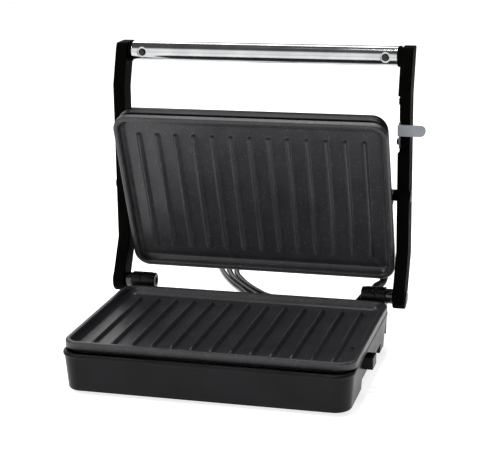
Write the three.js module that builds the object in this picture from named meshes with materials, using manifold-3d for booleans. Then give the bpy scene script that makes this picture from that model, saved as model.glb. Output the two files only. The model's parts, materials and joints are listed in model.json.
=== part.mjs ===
// A panini press standing open: a low base with a ribbed grill plate, and a second ribbed plate in an
// upper housing that hangs on side pivots between two hinged arms joined by a tubular handle.
// Millimetres, +Z up, +X to the right, the front towards -Y. Sizes are given from the middle of the
// base on the table; at the end everything moves so that the origin is the middle of the footprint.
import * as THREE from "three";
import { mergeVertices } from "three/addons/utils/BufferGeometryUtils.js";
import Module from "manifold-3d";

const wasm = await Module();
wasm.setup();

// ---- driving dimensions ----
const gap = 0.3; // clearance between pieces that touch or turn in each other
const wall = 2.5;

// grill plates
const plateWidth = 247;
const plateDepth = 160;
const plateCorner = 14;
const rimHeight = 6.8;
const rimWidth = 5;
const panDepth = 7.2;
const panStep = 2.6;
const plateHeight = 10.2;
const plateInset = 5; // the body under the rim is this much smaller all round
const ribCount = 13;
const ribPitch = (plateWidth - 43) / (ribCount - 1);
const ribLength = plateDepth - 37;
const ribWidth = 5.6;
const ribHeight = 3;
const drainRadius = 1.6;
const drainInset = 12.5; // from the plate's right edge
const spoutY = -25;

// base
const baseWidth = plateWidth - 7.4;
const baseDepth = plateDepth + 12;
const baseCorner = 14;
const lipOut = 1.9; // the upper lip stands out this much past the wall
const lipWidth = 3;
const lipHeight = 4;
const deckDrop = 2.9; // the deck inside the lip lies this much lower
const deckThickness = 1.5;
const deckLedge = 11; // how far the deck reaches in under the plate
const baseTop = 35.4;
const plateRise = 7.6; // the plate's rim stands this far above the lip
const footHeight = 3;
const footRadius = 8;
const coverThickness = 2;
const bayFront = -33;
const bayBack = 55;
const bayHeight = 9.3;
const bayLength = 72;
const screwShank = 1.5;
const screwHead = 3;
const bossRadius = 4;

// grease spout
const spoutWidth = 16;
const spoutReach = 9.7; // past the side wall
const spoutInside = 16;
const spoutHeight = 9.6;
const spoutWall = 2;

// arms
const armInner = plateWidth / 2 + 2.2; // distance of the arm's inner face from the middle
const armThickness = 10.9;
const armWidth = 19;
const armEyeRadius = 10.5;
const armBevel = 0.8;

// hinge
const hingeY = baseDepth / 2 + 4;
const hingeZ = baseTop + 9.1;
const knuckleRadius = 8;
const knuckleInner = armInner - 15.4;
const knuckleOuter = armInner - 6.7;
const collarInner = armInner - 28.7;
const spacerRadius = 6.7;
const shaftRadius = 3;
const hingeCapRadius = 5.7;
const capThickness = 1.3;

// pivot of the upper housing
const pivotY = hingeY + 18;
const pivotZ = hingeZ + plateDepth / 2 + 8.5;

// handle
const handleY = pivotY + 16;
const handleZ = pivotZ + 121;
const handleRadius = 8.85;
const handleWall = 1;
const collarLength = 2.8;
const spigotLength = 25;
const handleScrewInset = 13.7; // from the arm's inner face

// upper housing, described closed and level, measured from its pivot
const openTilt = 71; // degrees that the upper housing turns up from level to the open pose
const plateOffset = -3.5; // the plate's middle lies this far in front of the pivot
const ribsBelowPivot = 19.3;
const shellDepth = plateDepth + 2;
const shellWidth = plateWidth - 2.4;
const shellCorner = 15;
const shellHeight = 20.5;
const shellRound = 15;
const shellSeam = 0.9; // open seam between the plate's rim and the housing
const pivotBushRadius = 5.2;
const pivotCapRadius = 5.4;

// heaters
const heaterRadius = 3.3;
const heaterSpan = plateWidth - 97;
const heaterDepth = plateDepth - 76;
const shieldThickness = 1;
const shieldDrop = 9; // below the plate's underside
const thermostatRadius = 8;

// wiring sleeve
const sleeveRadius = 3.5;
const sleeveX = armInner - 17.7;
const sleeveHeight = -10.5; // where it meets the end wall, measured from the pivot
const sleeveAngle = 0.15; // radians above level where it leaves the collar

// lock slide on the right arm
const slotBottom = pivotZ + 38.9;
const slotTop = pivotZ + 89.4;
const slotDepth = 2.6;
const slotWidth = 10.5;
const tabLength = 23.9;
const tabHeight = 9.6;
const tabThickness = 4;
const tabZ = pivotZ + 60;
const slidePlate = 1.6;

// mains cord and its plug
const cordRadius = 2.75;
const cordX = -30;
const cordZ = 14;
const reliefLength = 30;
const plugLength = 36;
const plugWidth = 33;
const plugThickness = 15;
const pinRadius = 2.4;
const pinLength = 19;
const pinSpacing = 19;

// ---- shapes ----
const mm = (x, y, z) => new THREE.Vector3(x, y, z);
const sides = [
  ["left", -1],
  ["right", 1],
];

function roundedRectangle(width, depth, radius) {
  const x = width / 2;
  const y = depth / 2;
  const shape = new THREE.Shape();
  shape.moveTo(-x + radius, -y);
  shape.lineTo(x - radius, -y);
  shape.absarc(x - radius, -y + radius, radius, -Math.PI / 2, 0);
  shape.lineTo(x, y - radius);
  shape.absarc(x - radius, y - radius, radius, 0, Math.PI / 2);
  shape.lineTo(-x + radius, y);
  shape.absarc(-x + radius, y - radius, radius, Math.PI / 2, Math.PI);
  shape.lineTo(-x, -y + radius);
  shape.absarc(-x + radius, -y + radius, radius, Math.PI, 1.5 * Math.PI);
  return shape;
}

// a level slab of the outline, from bottom to top
function slab(shape, bottom, top, curveSegments = 3) {
  const made = new THREE.ExtrudeGeometry(shape, { depth: top - bottom, bevelEnabled: false, curveSegments });
  return made.translate(0, 0, bottom);
}

const roundedSlab = (width, depth, radius, bottom, top) =>
  slab(roundedRectangle(width, depth, radius), bottom, top);

function block(x0, x1, y0, y1, z0, z1) {
  const made = new THREE.BoxGeometry(x1 - x0, y1 - y0, z1 - z0);
  return made.translate((x0 + x1) / 2, (y0 + y1) / 2, (z0 + z1) / 2);
}

// a rod between two points
function rod(radius, from, to, segments = 14) {
  const along = to.clone().sub(from);
  const made = new THREE.CylinderGeometry(radius, radius, along.length(), segments);
  const turn = new THREE.Quaternion().setFromUnitVectors(mm(0, 1, 0), along.clone().normalize());
  const middle = from.clone().addScaledVector(along, 0.5);
  return made.applyQuaternion(turn).translate(middle.x, middle.y, middle.z);
}

// a rod along X between two distances from the middle, on the left or the right
const sideRod = (radius, side, near, far, y, z, segments = 18) =>
  rod(radius, mm(side * near, y, z), mm(side * far, y, z), segments);

// an outline drawn in Y and Z, given thickness along X
function sidePlate(points, x0, x1, bevel = 0) {
  const shape = new THREE.Shape(points.map(([y, z]) => new THREE.Vector2(y, z)));
  const made = new THREE.ExtrudeGeometry(shape, {
    depth: x1 - x0 - 2 * bevel,
    bevelEnabled: bevel > 0,
    bevelThickness: bevel,
    bevelSize: bevel,
    bevelOffset: -bevel,
    bevelSegments: 2,
  });
  const turn = new THREE.Matrix4().makeBasis(mm(0, 1, 0), mm(0, 0, 1), mm(1, 0, 0));
  return made.applyMatrix4(turn).translate(x0 + bevel, 0, 0);
}

// an outline drawn in X and Z, given thickness along Y
function frontPlate(points, y0, y1) {
  const shape = new THREE.Shape(points.map(([x, z]) => new THREE.Vector2(x, z)));
  const made = new THREE.ExtrudeGeometry(shape, { depth: y1 - y0, bevelEnabled: false });
  const turn = new THREE.Matrix4().makeBasis(mm(1, 0, 0), mm(0, 0, 1), mm(0, -1, 0));
  return made.applyMatrix4(turn).translate(0, y1, 0);
}

function tubeAlong(curve, radius, steps, segments) {
  const section = new THREE.Shape();
  section.absarc(0, 0, radius, 0, 2 * Math.PI);
  return new THREE.ExtrudeGeometry(section, {
    steps,
    curveSegments: segments,
    bevelEnabled: false,
    extrudePath: curve,
  });
}

// ---- joining and cutting ----
function solid(geometry) {
  const bare = geometry.index ? geometry.toNonIndexed() : geometry.clone();
  bare.deleteAttribute("normal");
  bare.deleteAttribute("uv");
  const merged = mergeVertices(bare, 1e-4);
  return new wasm.Manifold(
    new wasm.Mesh({
      numProp: 3,
      vertProperties: merged.attributes.position.array,
      triVerts: new Uint32Array(merged.index.array),
    }),
  );
}

function geometryOf(made) {
  const mesh = made.getMesh();
  const geometry = new THREE.BufferGeometry();
  geometry.setAttribute("position", new THREE.BufferAttribute(mesh.vertProperties, 3));
  geometry.setIndex(new THREE.BufferAttribute(mesh.triVerts, 1));
  return geometry;
}

const join = (...pieces) => geometryOf(pieces.map(solid).reduce((a, b) => a.add(b)));

const cut = (from, ...tools) => geometryOf(tools.map(solid).reduce((a, b) => a.subtract(b), solid(from)));

// ---- materials ----
const finish = (color, roughness, metalness) =>
  new THREE.MeshStandardMaterial({ color, roughness, metalness });
const blackShell = finish(0x1b1c1e, 0.45, 0);
const glossBlack = finish(0x0c0c0d, 0.25, 0);
const nonStick = finish(0x333236, 0.5, 0.1);
const chrome = finish(0xd8d9db, 0.12, 1);
const steel = finish(0x9b9c9e, 0.35, 0.9);
const darkSteel = finish(0x2a2a2c, 0.4, 0.8);
const greyLever = finish(0x9499a0, 0.55, 0);
const rubber = finish(0x151515, 0.85, 0);
const cordBlack = finish(0x141414, 0.6, 0);
const aluminium = finish(0xb4b6b8, 0.4, 0.9);
const brass = finish(0xc9ae6a, 0.3, 0.9);
const ceramic = finish(0xe4e0d6, 0.6, 0);

const base = new THREE.Group();
const arms = new THREE.Group();
const upper = new THREE.Group();
const lock = new THREE.Group();
const cord = new THREE.Group();

function piece(group, name, geometry, material) {
  const mesh = new THREE.Mesh(geometry, material);
  mesh.name = name;
  group.add(mesh);
  return mesh;
}

// ---- grill plates, rim upwards at z = 0, middle at the origin ----
function rib(x) {
  const made = new THREE.ExtrudeGeometry(
    roundedRectangle(ribWidth, ribLength, ribWidth / 2 - 0.5),
    {
      depth: ribHeight,
      curveSegments: 1,
      bevelThickness: 1.2,
      bevelSize: 1.2,
      bevelOffset: -1.2,
      bevelSegments: 1,
    },
  );
  return made.translate(x, 0, -panDepth - 1.2);
}

function grillPlate() {
  const body = join(
    roundedSlab(plateWidth, plateDepth, plateCorner, -rimHeight, 0),
    roundedSlab(
      plateWidth - 2 * plateInset,
      plateDepth - 2 * plateInset,
      plateCorner - plateInset,
      -plateHeight,
      -rimHeight + 1,
    ),
  );
  // the pan narrows in a step on its way down, which ties the rim to the body
  const pan = (inset, depth) =>
    roundedSlab(plateWidth - 2 * inset, plateDepth - 2 * inset, plateCorner - rimWidth, -depth, 1);
  const ribs = Array.from({ length: ribCount }, (_, i) => rib((i - (ribCount - 1) / 2) * ribPitch));
  return join(cut(body, pan(rimWidth, panDepth - panStep), pan(plateInset + panStep, panDepth)), ...ribs);
}

// heating rod bent into an open loop, both ends towards the back
function heater(z) {
  const x = heaterSpan / 2;
  const y = heaterDepth / 2;
  const r = 20;
  const path = new THREE.CurvePath();
  const corner = (ax, ay, bx, by, cx, cy) =>
    path.add(new THREE.QuadraticBezierCurve3(mm(ax, ay, z), mm(bx, by, z), mm(cx, cy, z)));
  const straight = (ax, ay, bx, by) => path.add(new THREE.LineCurve3(mm(ax, ay, z), mm(bx, by, z)));
  straight(-x, y + 14, -x, -y + r);
  corner(-x, -y + r, -x, -y, -x + r, -y);
  straight(-x + r, -y, x - r, -y);
  corner(x - r, -y, x, -y, x, -y + r);
  straight(x, -y + r, x, y + 14);
  return tubeAlong(path, heaterRadius, 30, 4);
}

const plateTop = baseTop + plateRise;
const plateUnderside = plateTop - plateHeight;
const ribsToRim = panDepth - ribHeight;

// ---- base ----
const deckTop = baseTop - deckDrop;
const coverBottom = footHeight;
const coverTop = coverBottom + coverThickness;
const wallX = baseWidth / 2;
const wallY = baseDepth / 2;
const lipX = wallX + lipOut + lipWidth / 2;
const bayTop = coverBottom + bayHeight;
const bossX = wallX - wall - 13;
const bossY = wallY - wall - 7.5;
const corners = [
  [-1, -1],
  [1, -1],
  [-1, 1],
  [1, 1],
];
const spoutTop = deckTop - deckThickness - gap;
const spoutBottom = spoutTop - spoutHeight;
const bossBore = screwShank + gap;

function baseHousing() {
  const outer = join(
    roundedSlab(baseWidth, baseDepth, baseCorner, coverBottom, baseTop - lipHeight + 0.5),
    roundedSlab(2 * lipX, baseDepth + 2 * lipX - baseWidth, baseCorner + 3, baseTop - lipHeight, baseTop),
  );
  const inside = roundedSlab(
    baseWidth - 2 * wall,
    baseDepth - 2 * wall,
    baseCorner - wall,
    coverBottom - 1,
    deckTop - deckThickness,
  );
  const well = roundedSlab(
    baseWidth - 2 * wall + 3,
    baseDepth - 2 * wall + 3,
    baseCorner - wall + 1,
    deckTop,
    baseTop + 1,
  );
  const opening = roundedSlab(
    plateWidth - 2 * deckLedge,
    plateDepth - 2 * deckLedge,
    8,
    coverBottom,
    deckTop + 1,
  );
  const bay = block(wallX - 2 * wall, wallX + 9, bayFront, bayBack, coverBottom - 1, bayTop);
  const spoutHole = block(
    wallX - 2 * wall,
    wallX + 9,
    spoutY - spoutWidth / 2 - gap,
    spoutY + spoutWidth / 2 + gap,
    spoutBottom - gap,
    spoutTop + gap / 2,
  );
  const cordHole = rod(5.3, mm(cordX, wallY - 2 * wall, cordZ), mm(cordX, wallY + 9, cordZ));
  const shell = cut(outer, inside, well, opening, bay, spoutHole, cordHole);
  const bosses = corners.map(([sx, sy]) =>
    cut(
      rod(bossRadius, mm(sx * bossX, sy * bossY, coverTop + gap), mm(sx * bossX, sy * bossY, deckTop - 0.5)),
      rod(bossBore, mm(sx * bossX, sy * bossY, coverTop), mm(sx * bossX, sy * bossY, coverTop + 12)),
    ),
  );
  // pads that carry the hinge brackets, and a gusset beside the right hinge collar
  const lipBack = wallY + lipX - wallX;
  const pads = sides.map(([, s]) => {
    const [a, b] = [s * knuckleInner, s * (knuckleOuter - 5)].sort((p, q) => p - q);
    return block(a, b, wallY - 1, lipBack, 8, baseTop - lipHeight + 0.5);
  });
  const gussetEnd = collarInner - gap;
  const gusset = frontPlate(
    [
      [gussetEnd - 9, baseTop - 1],
      [gussetEnd, baseTop - 1],
      [gussetEnd, hingeZ + 1.5],
    ],
    lipBack - 2.6,
    lipBack + 3.4,
  );
  return join(shell, ...bosses, ...pads, gusset);
}

piece(base, "base_housing", baseHousing(), blackShell);

function baseCover() {
  const edge = wall + gap;
  const sheet = roundedSlab(
    baseWidth - 2 * edge,
    baseDepth - 2 * edge,
    baseCorner - edge,
    coverBottom,
    coverTop,
  );
  const bayX = wallX - edge - bayLength;
  const roof = bayTop + gap;
  const hood = block(bayX - 2, wallX - edge, bayFront - 2, bayBack + 2, coverBottom, roof + 2);
  const hollow = block(bayX, wallX + 9, bayFront, bayBack, coverBottom - 1, roof);
  const holes = corners.map(([sx, sy]) =>
    rod(bossBore, mm(sx * bossX, sy * bossY, 0), mm(sx * bossX, sy * bossY, coverTop + 1)),
  );
  return cut(join(sheet, hood), hollow, ...holes);
}

piece(base, "base_cover", baseCover(), blackShell);

corners.forEach(([sx, sy], i) => {
  const x = sx * bossX;
  const y = sy * bossY;
  const headBottom = coverBottom - gap - 1.5;
  const screw = join(
    rod(screwHead, mm(x, y, headBottom), mm(x, y, coverBottom - gap)),
    rod(screwShank, mm(x, y, headBottom + 1), mm(x, y, coverTop + 10)),
  );
  piece(base, `cover_screw_${i + 1}`, screw, steel);
  const footX = sx * (bossX - 16);
  const footY = sy * (bossY - 6);
  piece(
    base,
    `foot_${i + 1}`,
    rod(footRadius, mm(footX, footY, 0), mm(footX, footY, coverBottom - gap)),
    rubber,
  );
});

// lower grill plate, with a drain into the spout
const drainX = plateWidth / 2 - drainInset;
const lowerPlate = cut(
  grillPlate().translate(0, 0, plateTop),
  rod(drainRadius, mm(drainX, spoutY, plateUnderside - 1), mm(drainX, spoutY, plateTop + 1)),
);
piece(base, "lower_grill_plate", lowerPlate, nonStick);
piece(base, "lower_heating_element", heater(plateUnderside - gap - heaterRadius), steel);
const shieldTop = plateUnderside - shieldDrop;
piece(
  base,
  "lower_heat_shield",
  roundedSlab(heaterSpan + 30, heaterDepth + 36, 8, shieldTop - shieldThickness, shieldTop),
  aluminium,
);
piece(
  base,
  "lower_thermostat",
  rod(thermostatRadius, mm(0, 0, shieldTop + gap), mm(0, 0, plateUnderside - gap)),
  ceramic,
);
piece(
  base,
  "terminal_block",
  block(cordX - 42, cordX - 12, wallY - 28, wallY - 14, coverTop + gap, coverTop + 12),
  ceramic,
);

// grease spout: a trough from under the drain, out through the side wall
function greaseSpout() {
  const x0 = wallX - spoutInside;
  const x1 = wallX + spoutReach;
  const half = spoutWidth / 2;
  const body = block(x0, x1, spoutY - half, spoutY + half, spoutBottom, spoutTop);
  const trough = block(
    x0 + spoutWall,
    x1 - spoutWall,
    spoutY - half + spoutWall,
    spoutY + half - spoutWall,
    spoutBottom + spoutWall,
    spoutTop + 1,
  );
  const mouth = block(wallX + 2, x1 - spoutWall, spoutY - 3, spoutY + 3, spoutBottom - 1, spoutBottom + 3);
  return cut(body, trough, mouth);
}

piece(base, "grease_spout", greaseSpout(), blackShell);

// hinge brackets on the base: a knuckle with a foot down the back wall
const bracketFront = wallY + lipX - wallX + gap;
for (const [name, s] of sides) {
  const foot = [
    [bracketFront, hingeZ],
    [bracketFront, 10],
    [bracketFront + 2, 8],
    [hingeY + knuckleRadius, 28],
    [hingeY + knuckleRadius, hingeZ],
  ];
  const [x0, x1] = [s * knuckleInner, s * knuckleOuter].sort((p, q) => p - q);
  const body = join(
    sidePlate(foot, x0, x1),
    sideRod(knuckleRadius, s, knuckleInner, knuckleOuter, hingeY, hingeZ, 24),
  );
  const bore = sideRod(shaftRadius + gap, s, knuckleInner - 1, knuckleOuter + 1, hingeY, hingeZ);
  piece(base, `hinge_bracket_${name}`, cut(body, bore), blackShell);
}

// ---- arms ----
const armOuter = armInner + armThickness;
// middle line of the arm: hinge eye, lower bend, upper bend, top end
const armLine = [
  [hingeY, hingeZ],
  [pivotY + 1.4, hingeZ + 36],
  [pivotY + 4, pivotZ + 90.5],
  [pivotY + 17.4, pivotZ + 129.3],
];

// the line moved sideways, its corners mitred
function offsetLine(points, distance) {
  const normals = points.slice(1).map(([y, z], i) => {
    const [py, pz] = points[i];
    const length = Math.hypot(y - py, z - pz);
    return [(z - pz) / length, (py - y) / length];
  });
  return points.map(([y, z], i) => {
    const a = normals[Math.max(i - 1, 0)];
    const b = normals[Math.min(i, normals.length - 1)];
    const scale = distance / (1 + a[0] * b[0] + a[1] * b[1]);
    return [y + (a[0] + b[0]) * scale, z + (a[1] + b[1]) * scale];
  });
}

function arm(s) {
  const back = offsetLine(armLine, armWidth / 2);
  const front = offsetLine(armLine, -armWidth / 2);
  const top = armLine.length - 1;
  const flatTop = (line) => {
    const [y0, z0] = line[top - 1];
    const [y1, z1] = line[top];
    const z = armLine[top][1];
    return [y0 + ((y1 - y0) * (z - z0)) / (z1 - z0), z];
  };
  front[top] = flatTop(front);
  back[top] = flatTop(back);
  const chamfer = [front[top][0] - 1.2, front[top][1] - 4];
  front[top] = [front[top][0] + 1.4, front[top][1]];
  front.splice(top, 0, chamfer);
  const [x0, x1] = [s * armInner, s * armOuter].sort((p, q) => p - q);
  const outline = [...back, ...front.reverse()];
  const body = join(
    sidePlate(outline, x0, x1, armBevel),
    sideRod(armEyeRadius, s, armInner, armOuter, hingeY, hingeZ, 24),
    sideRod(handleRadius - handleWall - gap, s, armInner - spigotLength, armInner + 1, handleY, handleZ),
  );
  const bore = (y, z) => sideRod(shaftRadius + gap, s, armInner - 1, armOuter + 1, y, z);
  const screwX = s * (armInner - handleScrewInset);
  const screwBore = rod(
    screwShank + gap,
    mm(screwX, handleY - handleRadius, handleZ),
    mm(screwX, handleY, handleZ),
  );
  const tools = [bore(hingeY, hingeZ), bore(pivotY, pivotZ), screwBore];
  if (s > 0) tools.push(lockSlot());
  return cut(body, ...tools);
}

// the arm's front edge where the lock slides
const [[, bendZ], [, upperBendZ]] = armLine.slice(1, 3);
const armFrontAtSlot =
  armLine[1][0] + ((armLine[2][0] - armLine[1][0]) * (tabZ - bendZ)) / (upperBendZ - bendZ) - armWidth / 2;
const slotFront = armFrontAtSlot - 4;

// recess in the arm's inner front edge, with a tooth left standing near its top
function lockSlot() {
  const recess = block(
    armInner - 1,
    armInner + slotDepth,
    slotFront,
    armFrontAtSlot + slotWidth,
    slotBottom,
    slotTop,
  );
  const tooth = block(
    armInner + 0.9,
    armInner + slotDepth + 1,
    slotFront - 1,
    armFrontAtSlot + 2,
    slotTop - 7,
    slotTop - 1.5,
  );
  return cut(recess, tooth);
}

for (const [name, s] of sides) {
  piece(arms, `arm_${name}`, arm(s), glossBlack);
  const capOuter = armOuter + gap + capThickness;
  const shaft = join(
    sideRod(shaftRadius, s, collarInner + 1, capOuter - 0.5, hingeY, hingeZ),
    sideRod(hingeCapRadius, s, armOuter + gap, capOuter, hingeY, hingeZ, 24),
  );
  piece(arms, `hinge_shaft_${name}`, shaft, darkSteel);
  const bore = sideRod(shaftRadius + gap, s, collarInner - 1, armInner + 1, hingeY, hingeZ);
  piece(
    arms,
    `hinge_collar_${name}`,
    cut(sideRod(knuckleRadius, s, collarInner, knuckleInner - gap, hingeY, hingeZ, 24), bore),
    glossBlack,
  );
  piece(
    arms,
    `hinge_spacer_${name}`,
    cut(sideRod(spacerRadius, s, knuckleOuter + gap, armInner - gap, hingeY, hingeZ, 24), bore),
    glossBlack,
  );
  // collar between the handle tube and the arm, round the arm's spigot
  const spigotRadius = handleRadius - handleWall - gap;
  piece(
    arms,
    `handle_collar_${name}`,
    cut(
      sideRod(handleRadius + 0.5, s, armInner - gap - collarLength, armInner - gap, handleY, handleZ, 28),
      sideRod(spigotRadius + gap, s, armInner - 9, armInner + 1, handleY, handleZ),
    ),
    glossBlack,
  );
  const screwX = s * (armInner - handleScrewInset);
  const seat = handleY - spigotRadius - gap;
  piece(
    arms,
    `handle_screw_${name}`,
    join(
      rod(screwHead - 0.3, mm(screwX, seat - 1.6, handleZ), mm(screwX, seat, handleZ), 16),
      rod(screwShank, mm(screwX, seat - 0.5, handleZ), mm(screwX, seat + 6, handleZ), 16),
    ),
    darkSteel,
  );
}

function handleTube() {
  const half = armInner - collarLength - 2 * gap;
  const tube = cut(
    sideRod(handleRadius, 1, -half, half, handleY, handleZ, 28),
    sideRod(handleRadius - handleWall, 1, -half - 1, half + 1, handleY, handleZ, 28),
  );
  const holes = sides.map(([, s]) => {
    const x = s * (armInner - handleScrewInset);
    return rod(screwHead + gap, mm(x, handleY - 2 * handleRadius, handleZ), mm(x, handleY, handleZ));
  });
  return cut(tube, ...holes);
}

piece(arms, "handle_tube", handleTube(), chrome);

// ---- upper housing, built closed and level round its pivot ----
const rimFace = -ribsBelowPivot - ribsToRim;
const shellBottom = rimFace + rimHeight + shellSeam;
const shellTop = shellBottom + shellHeight;
const upperUnderside = rimFace + plateHeight;

// an outline raised to a rounded crown
function crowned(width, depth, corner, bottom, top, round) {
  const made = new THREE.ExtrudeGeometry(
    roundedRectangle(width, depth, corner),
    {
      depth: top - bottom,
      curveSegments: 3,
      bevelThickness: round,
      bevelSize: round * 0.95,
      bevelOffset: -round * 0.95,
      bevelSegments: 4,
    },
  );
  made.translate(0, plateOffset, bottom - round);
  return cut(made, block(-width, width, -depth, depth, bottom - 2 * round, bottom));
}

function upperHousing() {
  const outer = crowned(shellWidth, shellDepth, shellCorner, shellBottom, shellTop, shellRound);
  const inner = crowned(
    shellWidth - 2 * wall,
    shellDepth - 2 * wall,
    shellCorner - wall,
    shellBottom - 3,
    shellTop - wall,
    shellRound - wall,
  );
  const shell = cut(outer, inner);
  const posts = corners.map(([sx, sy]) => {
    const x = sx * (plateWidth / 2 - 28);
    const y = plateOffset + sy * (plateDepth / 2 - 20);
    return rod(bossRadius, mm(x, y, upperUnderside + gap), mm(x, y, shellTop - 1));
  });
  // a boss in each end wall carries the pivot stud
  const bosses = sides.map(([, s]) => {
    const [a, b] = [s * (shellWidth / 2 - 12), s * shellWidth / 2].sort((p, q) => p - q);
    return join(
      sideRod(pivotBushRadius, s, shellWidth / 2 - 12, shellWidth / 2, 0, 0),
      block(a, b, -pivotBushRadius, pivotBushRadius, upperUnderside + 1, 0),
    );
  });
  const bores = sides.map(([, s]) =>
    sideRod(shaftRadius + gap, s, shellWidth / 2 - 9, shellWidth / 2 + 9, 0, 0),
  );
  return cut(join(shell, ...posts, ...bosses), ...bores);
}

piece(upper, "upper_housing", upperHousing(), blackShell);
const upperPlate = grillPlate().rotateX(Math.PI).translate(0, plateOffset, rimFace);
piece(upper, "upper_grill_plate", upperPlate, nonStick);
piece(
  upper,
  "upper_heating_element",
  heater(upperUnderside + gap + heaterRadius).translate(0, plateOffset, 0),
  steel,
);
const upperShield = upperUnderside + shieldDrop;
piece(
  upper,
  "upper_heat_shield",
  roundedSlab(
    heaterSpan + 20,
    heaterDepth + 26,
    8,
    upperShield,
    upperShield + shieldThickness,
  ).translate(0, plateOffset, 0),
  aluminium,
);
piece(
  upper,
  "upper_thermostat",
  rod(thermostatRadius, mm(0, plateOffset, upperUnderside + gap), mm(0, plateOffset, upperShield - gap)),
  ceramic,
);
for (const [name, s] of sides) {
  const capOuter = armOuter + gap + capThickness;
  const stud = join(
    sideRod(shaftRadius, s, shellWidth / 2 - 5, capOuter - 0.5, 0, 0),
    sideRod(pivotCapRadius, s, armOuter + gap, capOuter, 0, 0, 20),
  );
  piece(upper, `pivot_stud_${name}`, stud, darkSteel);
  const bush = cut(
    sideRod(pivotBushRadius, s, shellWidth / 2 + gap, armInner - gap, 0, 0),
    sideRod(shaftRadius + gap, s, shellWidth / 2 - 1, armInner + 1, 0, 0),
  );
  piece(upper, `pivot_bush_${name}`, bush, glossBlack);
}
upper.position.set(0, pivotY, pivotZ);
upper.rotation.x = THREE.MathUtils.degToRad(-openTilt);

// ---- wiring sleeve from the right hinge collar to the end wall of the upper housing ----
upper.updateMatrixWorld(true);
const wallPoint = (z, out) => mm(sleeveX + 3, plateOffset + shellDepth / 2 + out, z);
const sleeveEnd = wallPoint(sleeveHeight, gap).applyMatrix4(upper.matrixWorld);
const sleeveRun = wallPoint(sleeveHeight, 7).applyMatrix4(upper.matrixWorld);
const collarTop = (angle, radius) =>
  mm(sleeveX - 1.5, hingeY + radius * Math.cos(angle), hingeZ + radius * Math.sin(angle));
const sleevePath = new THREE.CatmullRomCurve3([
  collarTop(sleeveAngle, knuckleRadius + gap + 0.6),
  collarTop(sleeveAngle, knuckleRadius + 8),
  sleeveRun,
  sleeveEnd,
]);
piece(arms, "wiring_sleeve", tubeAlong(sleevePath, sleeveRadius, 8, 5), rubber);

// ---- lock slide ----
function lockSlider() {
  const inner = armInner + 0.5;
  const front = armFrontAtSlot - gap - tabThickness;
  const back = armFrontAtSlot + slotWidth - 0.6;
  const bottom = tabZ - tabHeight / 2;
  const top = tabZ + tabHeight / 2;
  const end = armInner + 0.9 + tabLength - tabHeight / 2;
  return join(
    block(inner, end, front, front + tabThickness, bottom, top),
    rod(tabHeight / 2, mm(end, front, tabZ), mm(end, front + tabThickness, tabZ), 20),
    block(inner, inner + slidePlate, front, back, bottom, top),
    block(inner, inner + slidePlate, armFrontAtSlot + 2.5, back, bottom - 12, top + 1),
  );
}

const lockScrewZ = tabZ - 11.3;
const lockScrewY = armFrontAtSlot + 6;
const lockScrewBore = rod(
  screwShank,
  mm(armInner - 1, lockScrewY, lockScrewZ),
  mm(armInner + slotDepth, lockScrewY, lockScrewZ),
);
piece(lock, "lock_slider", cut(lockSlider(), lockScrewBore), greyLever);
piece(
  lock,
  "lock_screw",
  join(
    rod(screwHead, mm(armInner - 1.4, lockScrewY, lockScrewZ), mm(armInner + 0.2, lockScrewY, lockScrewZ)),
    rod(
      screwShank - gap,
      mm(armInner - 1, lockScrewY, lockScrewZ),
      mm(armInner + 0.4 + slidePlate, lockScrewY, lockScrewZ),
    ),
  ),
  darkSteel,
);

// ---- mains cord: out of the back wall, then folded in three runs behind the base ----
function cordRelief() {
  const profile = [
    [0, -wall - 3],
    [7, -wall - 3],
    [7, -wall - gap],
    [5, -wall - gap],
    [5, gap],
    [7, gap],
    [7, 3],
    [5, 4],
    [cordRadius + 0.9, reliefLength],
    [0, reliefLength],
  ].map(([r, y]) => new THREE.Vector2(r, y));
  return new THREE.LatheGeometry(profile, 16).translate(cordX, wallY, cordZ);
}

piece(cord, "cord_relief", cordRelief(), rubber);

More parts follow.
